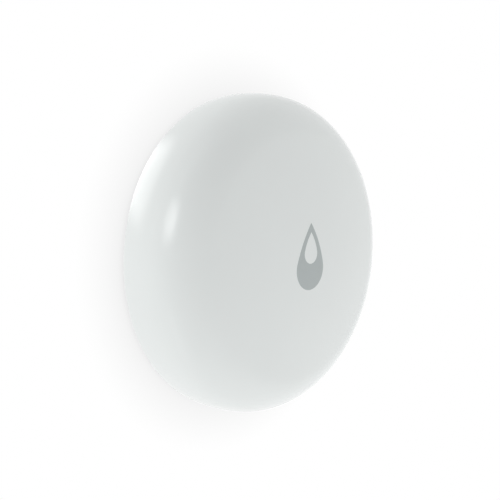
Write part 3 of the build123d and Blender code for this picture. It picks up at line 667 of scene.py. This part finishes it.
class MESH_OT_leak_sensor_mark(bpy.types.Operator):
    """Model the grey drop as an inlay that follows the dome, open where its window is"""

    bl_idname = "mesh.leak_sensor_mark"
    bl_label = "Drop Mark"
    bl_options = {"REGISTER", "UNDO"}

    def execute(self, context):
        mark = context.scene.leak_sensor.mark
        dome = context.scene.leak_sensor.dome
        mesh = bmesh.new()
        outer = self.outline(mesh, mark.bowl_radius, mark.bowl_y, mark.tip_y, mark.lift)
        inner = self.outline(mesh, mark.window_radius, mark.window_y, mark.window_tip_y, mark.lift)
        made = bmesh.ops.bridge_loops(mesh, edges=outer + inner)
        across = [edge for edge in made["edges"] if edge.is_valid]
        bmesh.ops.subdivide_edges(mesh, edges=across, cuts=MARK_CUTS, use_grid_fill=True)
        crown_z = dome.height - dome.crown_arc
        for vert in mesh.verts:
            vert.co.z = crown_z + sqrt(dome.crown_arc**2 - vert.co.xy.length_squared) + mark.proud
        grown = bmesh.ops.extrude_face_region(mesh, geom=mesh.faces[:])
        lower = [part for part in grown["geom"] if isinstance(part, bmesh.types.BMVert)]
        bmesh.ops.translate(mesh, verts=lower, vec=(0, 0, -mark.depth))
        piece("drop_inlay", mesh, "mark_grey", "housing", "drop_mark")
        return {"FINISHED"}

    def outline(self, mesh, bowl_radius, bowl_y, tip_y, lift):
        """Half a bowl and one flank tangent to it, spun from a point at the bowl's foot, then mirrored."""
        flank_start = Vector((bowl_radius * cos(lift), bowl_y + bowl_radius * sin(lift), 0))
        chord = Vector((0, tip_y, 0)) - flank_start
        tangent = Vector((-sin(lift), cos(lift), 0))
        bend = 2 * tangent.angle(chord)
        flank_radius = chord.length / (2 * sin(bend / 2))
        flank_centre = flank_start - flank_radius * Vector((cos(lift), sin(lift), 0))
        first = mesh.verts.new((0, bowl_y - bowl_radius, 0))
        before = set(mesh.edges)
        ends = [first]
        for centre, sweep in (((0, bowl_y, 0), pi / 2 + lift), (flank_centre, bend)):
            made = bmesh.ops.spin(
                mesh, geom=ends, cent=centre, axis=(0, 0, 1), angle=sweep, steps=OUTLINE_STEPS)
            ends = made["geom_last"]
        half = [edge for edge in mesh.edges if edge not in before]
        verts = {vert for edge in half for vert in edge.verts}
        bmesh.ops.mirror(mesh, geom=list(verts) + half, axis="X", merge_dist=MERGE)
        return [edge for edge in mesh.edges if edge not in before]


class MESH_OT_leak_sensor_underside(bpy.types.Operator):
    """Finish the base, its battery cover and their seals"""

    bl_idname = "mesh.leak_sensor_underside"
    bl_label = "Underside"
    bl_options = {"REGISTER", "UNDO"}

    def execute(self, context):
        dress("satin_white", "base_shell", "battery_cover")
        dress("seal_rubber", "shell_seal", "battery_cover_seal", "probe_seal_left", "probe_seal_right")
        dress("foam_grey", "cover_cushion")
        return {"FINISHED"}


class MESH_OT_leak_sensor_probes(bpy.types.Operator):
    """Finish the two probes and their bushes"""

    bl_idname = "mesh.leak_sensor_probes"
    bl_label = "Probes"
    bl_options = {"REGISTER", "UNDO"}

    def execute(self, context):
        for side in ("left", "right"):
            dress(f"probe_steel_{side}", f"probe_screw_{side}")
            dress("brass", f"probe_insert_{side}")
        return {"FINISHED"}


class MESH_OT_leak_sensor_cell(bpy.types.Operator):
    """Finish the coin cell and its contacts"""

    bl_idname = "mesh.leak_sensor_cell"
    bl_label = "Coin Cell"
    bl_options = {"REGISTER", "UNDO"}

    def execute(self, context):
        dress("nickel_steel", "cell_can", "cell_lid", "positive_contact", "negative_contact")
        dress("gasket_plastic", "cell_gasket")
        dress("cell_pellet", "cell_core")
        return {"FINISHED"}


class MESH_OT_leak_sensor_board(bpy.types.Operator):
    """Finish the board, what is soldered on it, its screws and the switch with its light guide"""

    bl_idname = "mesh.leak_sensor_board"
    bl_label = "Board and Switch"
    bl_options = {"REGISTER", "UNDO"}

    def execute(self, context):
        dress("board_green", "circuit_board")
        dress("chip_black", "radio_chip", "resistors", "switch_body", "switch_stem")
        dress("nickel_steel", "crystal", "switch_cover", "board_screws")
        dress("ceramic", "antenna", "capacitors")
        dress("led_lens", "status_led")
        dress("clear_guide", "light_guide")
        return {"FINISHED"}


class MESH_OT_leak_sensor_snap_disc(bpy.types.Operator):
    """Model the switch's snap disc"""

    bl_idname = "mesh.leak_sensor_snap_disc"
    bl_label = "Snap Disc"
    bl_options = {"REGISTER", "UNDO"}

    def execute(self, context):
        thickness = context.scene.leak_sensor.snap_thickness
        low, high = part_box("switch_dome")
        middle = (low + high) / 2
        reach = high.x - middle.x
        rise = high.z - low.z - thickness
        bow = (reach**2 + rise**2) / (2 * rise)
        lean = asin(reach / bow)
        mesh = bmesh.new()
        top = arc(mesh, mesh.verts.new((0, 0, high.z)), (0, high.z - bow), lean, DISC_STEPS)
        rim = line(mesh, top, (reach, low.z))
        arc(mesh, rim, (0, high.z - thickness - bow), -lean, DISC_STEPS)
        turn_full(mesh, SMALL_AROUND)
        bmesh.ops.translate(mesh, verts=mesh.verts, vec=(middle.x, middle.y, 0))
        disc = piece("snap_disc", mesh, "nickel_steel", "housing", "switch_dome")
        joint = next(row for row in frame["record"]["behaviour"]["joints"] if row["name"] == "button_press")
        keep = 1 - joint["range_m"][1] / (high.z - low.z)
        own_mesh(disc)
        return {"FINISHED"}


# Soft lamps that look at the disc's middle: azimuth and elevation in degrees, width and height in m,
# power in W
LAMPS = {
    "window_lamp": (157, 7, (0.19, 0.19), 0.43),
    "left_lamp": (120, 3, (0.3, 0.12), 0.44),
    "near_lamp": (230, 3, (0.3, 0.12), 0.74),
    "front_lamp": (285, 40, (0.4, 0.4), 0.58),
    "far_lamp": (0, 40, (0.4, 0.4), 1.0),
}
# Small lamps that only the gloss mirrors. They are close by and have a narrow beam, so that they show in
# the near side alone. The aim is a turn round the disc, a radius and a height. Lengths are in mm, powers in
# mW and angles in degrees.
GLINTS = {
    "window_glint": {
        "aim": (166, 24.9, 6.4), "azimuth": 159.5, "elevation": 12.5, "reach": 15,
        "size": (20.5, 15.5), "beam": 44, "power": 0.27,
    },
    "floor_glint": {
        "aim": (150.5, 27.0, 1.0), "azimuth": 150.5, "elevation": -90, "reach": 0.9,
        "size": (23, 9.2), "beam": 130, "power": 1.15,
    },
}


class SCENE_OT_leak_sensor_stage(bpy.types.Operator):
    """Set up the pale floor, the even surroundings, the soft lamps and the camera"""

    bl_idname = "scene.leak_sensor_stage"
    bl_label = "Studio"
    bl_options = {"REGISTER", "UNDO"}

    def execute(self, context):
        stage = context.scene.leak_sensor.stage
        context.scene.view_settings.view_transform = "Standard"
        self.add_surroundings(context, stage)
        self.add_floor(context, stage)
        for name, (azimuth, elevation, size, power) in LAMPS.items():
            lamp = self.add_lamp(context, name, MIDDLE, azimuth, elevation, stage.lamp_distance, size, power)
            lamp.visible_glossy = False
        for name, glint in GLINTS.items():
            turn, radius, aim_z = glint["aim"]
            aim = Matrix.Rotation(radians(turn), 3, "Z") @ Vector((radius, 0, aim_z)) * MM
            size = tuple(side * MM for side in glint["size"])
            lamp = self.add_lamp(
                context, name, aim, glint["azimuth"], glint["elevation"],
                glint["reach"] * MM, size, glint["power"] * MW)
            lamp.data.spread = radians(glint["beam"])
            lamp.visible_diffuse = False
            lamp.visible_transmission = False
            self.soften(lamp.data)
        self.add_camera(context, stage)
        return {"FINISHED"}

    def rays(self, sheet):
        """1 on rays that look straight, and 1 on rays that look by reflection or through glass."""
        straight, mirrored, through = (
            sheet.node("ShaderNodeLightPath", output=f"Is {kind} Ray")
            for kind in ("Camera", "Glossy", "Transmission"))
        return straight, mirrored + through

    def add_surroundings(self, context, stage):
        """Even light on the object, and plain white behind it and in its reflections."""
        world = bpy.data.worlds.new("surroundings")
        world.use_nodes = True
        context.scene.world = world
        sheet = Sheet(world.node_tree)
        camera_ray, other_ray = self.rays(sheet)
        even, white = (
            sheet.node("ShaderNodeBackground", {}, {"Color": (1, 1, 1), "Strength": level})
            for level in (stage.fill, WHITE))
        sheet.finish(sheet.mix(camera_ray + other_ray, even, white), "ShaderNodeOutputWorld")

    def add_floor(self, context, stage):
        """A round floor that looks white, darker where the object covers it, and clear from below."""
        mesh = bmesh.new()
        bmesh.ops.create_circle(mesh, cap_ends=True, segments=64, radius=stage.floor_radius)
        data = bpy.data.meshes.new("floor")
        mesh.to_mesh(data)
        mesh.free()
        floor = bpy.data.objects.new("floor", data)
        context.collection.objects.link(floor)
        paper = bpy.data.materials.new("pale_floor")
        paper.use_nodes = True
        sheet = Sheet(paper.node_tree)
        camera_ray, other_ray = self.rays(sheet)
        covered = 1 - sheet.node(
            "ShaderNodeAmbientOcclusion", {"samples": SHADOW_SAMPLES}, {"Distance": stage.shadow_reach}, "AO")
        levels = (WHITE, WHITE - stage.shadow, stage.floor_glow)
        white, shaded, glow = (sheet.emission(level) for level in levels)
        seen = sheet.mix(camera_ray * covered, white, shaded)
        upper = sheet.mix(camera_ray + other_ray, glow, seen)
        below = sheet.node("ShaderNodeNewGeometry", output="Backfacing")
        sheet.finish(sheet.mix(below, upper, sheet.node("ShaderNodeBsdfTransparent")))
        data.materials.append(paper)

    def add_lamp(self, context, name, aim, azimuth, elevation, reach, size, power):
        """A rectangular lamp, so wide and so high, that looks at its aim from a distance."""
        around = Matrix.Rotation(radians(azimuth), 3, "Z")
        turn = around @ Matrix.Rotation(pi / 2 - radians(elevation), 3, "Y")
        data = bpy.data.lights.new(name, "AREA")
        data.shape = "RECTANGLE"
        data.size_y, data.size = size
        data.energy = power
        lamp = bpy.data.objects.new(name, data)
        lamp.matrix_world = Matrix.Translation(aim + turn @ Vector((0, 0, reach))) @ turn.to_4x4()
        lamp.visible_camera = False
        context.collection.objects.link(lamp)
        return lamp

    def soften(self, data):
        """Let a lamp's light fade smoothly from its middle to its edges."""
        data.use_nodes = True
        sheet = Sheet(data.node_tree)
        across = sheet.node("ShaderNodeNewGeometry", output="Parametric")
        place = sheet.mapped(across, centre=(0.5, 0.5, 0), scale=(0.5, 0.5, 1))
        falloff = sheet.node("ShaderNodeTexGradient", {"gradient_type": "SPHERICAL"}, {"Vector": place})
        light = sheet.node("ShaderNodeMapRange", {"interpolation_type": "SMOOTHSTEP"},
                           {"Value": falloff, "From Min": 0.0, "From Max": FULL_LIGHT})
        sheet.finish(sheet.node("ShaderNodeEmission", {}, {"Color": light}), "ShaderNodeOutputLight")

    def add_camera(self, context, stage):
        """A camera above the disc's middle, turned, lifted and rolled about it."""
        data = bpy.data.cameras.new("camera")
        data.sensor_width = SENSOR_WIDTH
        data.lens = stage.lens
        data.clip_start = NEAREST
        camera = bpy.data.objects.new("camera", data)
        turn = Matrix.Rotation(-stage.turn, 4, "Y")
        lift = Matrix.Rotation(-stage.lift, 4, "X")
        roll = Matrix.Rotation(stage.roll, 4, "Z")
        back = Matrix.Translation((stage.aside, stage.above, stage.distance))
        camera.matrix_world = Matrix.Translation(MIDDLE) @ turn @ lift @ roll @ back
        context.collection.objects.link(camera)
        context.scene.camera = camera


class VIEW3D_PT_leak_sensor(bpy.types.Panel):
    """Lists the sensor's settings and its steps"""

    bl_label = "Leak Sensor"
    bl_space_type = "VIEW_3D"
    bl_region_type = "UI"
    bl_category = "Leak Sensor"

    def draw(self, context):
        settings = context.scene.leak_sensor
        for group in (settings.dome, settings.mark, settings.colours, settings.stage):
            box = self.layout.box()
            for name in group.__annotations__:
                box.prop(group, name)
        self.layout.prop(settings, "snap_thickness")
        for operator in OPERATORS:
            self.layout.operator(operator.bl_idname)


GROUPS = (LeakSensorDomeSizes, LeakSensorMarkSizes, LeakSensorColours, LeakSensorStage, LeakSensorSettings)
OPERATORS = (
    SCENE_OT_leak_sensor_stage,
    MESH_OT_leak_sensor_dome,
    MESH_OT_leak_sensor_mark,
    MESH_OT_leak_sensor_underside,
    MESH_OT_leak_sensor_probes,
    MESH_OT_leak_sensor_cell,
    MESH_OT_leak_sensor_board,
    MESH_OT_leak_sensor_snap_disc,
)


def register():
    for kind in (*GROUPS, *OPERATORS, VIEW3D_PT_leak_sensor):
        bpy.utils.register_class(kind)
    bpy.types.Scene.leak_sensor = PointerProperty(type=LeakSensorSettings)


def unregister():
    del bpy.types.Scene.leak_sensor
    for kind in reversed((*GROUPS, *OPERATORS, VIEW3D_PT_leak_sensor)):
        bpy.utils.unregister_class(kind)


def main():
    """Build everything in order."""
    register()
    bpy.ops.scene.leak_sensor_stage()
    bpy.ops.mesh.leak_sensor_dome()
    bpy.ops.mesh.leak_sensor_mark()
    bpy.ops.mesh.leak_sensor_underside()
    bpy.ops.mesh.leak_sensor_probes()
    bpy.ops.mesh.leak_sensor_cell()
    bpy.ops.mesh.leak_sensor_board()
    bpy.ops.mesh.leak_sensor_snap_disc()


if __name__ == "__main__":
    main()
